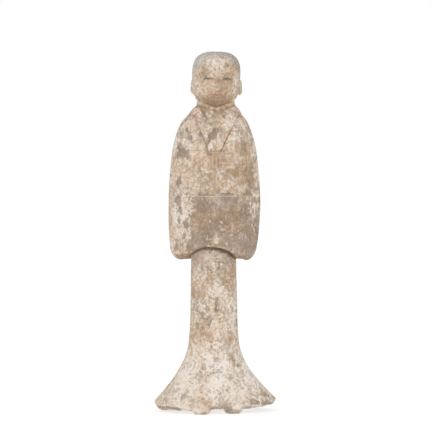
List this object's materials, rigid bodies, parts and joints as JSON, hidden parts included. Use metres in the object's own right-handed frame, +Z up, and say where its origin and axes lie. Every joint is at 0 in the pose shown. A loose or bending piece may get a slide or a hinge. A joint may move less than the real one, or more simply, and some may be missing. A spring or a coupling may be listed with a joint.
{
  "type": "pottery courtier figure",
  "caption": "Standing pottery attendant in a long crossed robe, hands joined in hanging sleeves, trumpet hem with shoe tips; decorative statuette that stands by its own weight.",
  "frame": {"origin": "on the ground, at the middle of the figure's footprint", "axes": "+Z up through the head, -Y out of the face, +X towards the figure's left hand"},
  "size_m": [0.1148, 0.0838, 0.3401],
  "materials": {
    "pottery": "matte, worn white slip over grey fired clay, with brown earth"
  },
  "bodies": {
    "root": {"courtier_figure": "pottery"}
  },
  "joints": []
}
